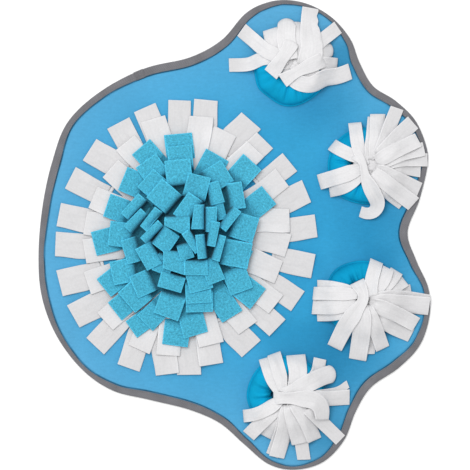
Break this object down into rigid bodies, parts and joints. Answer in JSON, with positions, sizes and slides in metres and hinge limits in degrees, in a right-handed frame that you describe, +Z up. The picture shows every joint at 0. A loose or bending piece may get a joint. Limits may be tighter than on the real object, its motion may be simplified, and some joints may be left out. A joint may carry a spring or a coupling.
{
  "type": "snuffle mat",
  "caption": "Flat paw-shaped dog mat with a bound edge, a flower of fleece petals on its pad, and gathered treat pouches with fleece tassels on its toes.",
  "frame": {"origin": "centre of the mat's outline, on the floor", "axes": "+X towards the toes, +Y across the toes towards the first toe, +Z up"},
  "size_m": [0.5004, 0.6, 0.0521],
  "materials": {
    "mat_cloth": "sky blue plain-woven polyester with a fine visible weave",
    "edge_tape": "mid grey woven binding tape, matt, one row of stitching",
    "white_fleece": "white fleece, matt, short soft nap",
    "teal_fleece": "light turquoise fleece, matt, short soft nap",
    "pouch_cloth": "bright blue soft polyester, gathered, faint sheen"
  },
  "bodies": {
    "root": {"mat_cloth": "mat_cloth", "edge_tape": "edge_tape", "petals_white_outer": "white_fleece", "petals_white_inner": "white_fleece", "petals_teal_rim": "teal_fleece", "petals_teal_second": "teal_fleece", "petals_teal_third": "teal_fleece", "petals_teal_centre": "teal_fleece", "petals_teal_heart": "teal_fleece", "pouch_1": "pouch_cloth", "pouch_2": "pouch_cloth", "pouch_3": "pouch_cloth", "pouch_4": "pouch_cloth", "tassel_1": "white_fleece", "tassel_2": "white_fleece", "tassel_3": "white_fleece", "tassel_4": "white_fleece"}
  },
  "joints": []
}
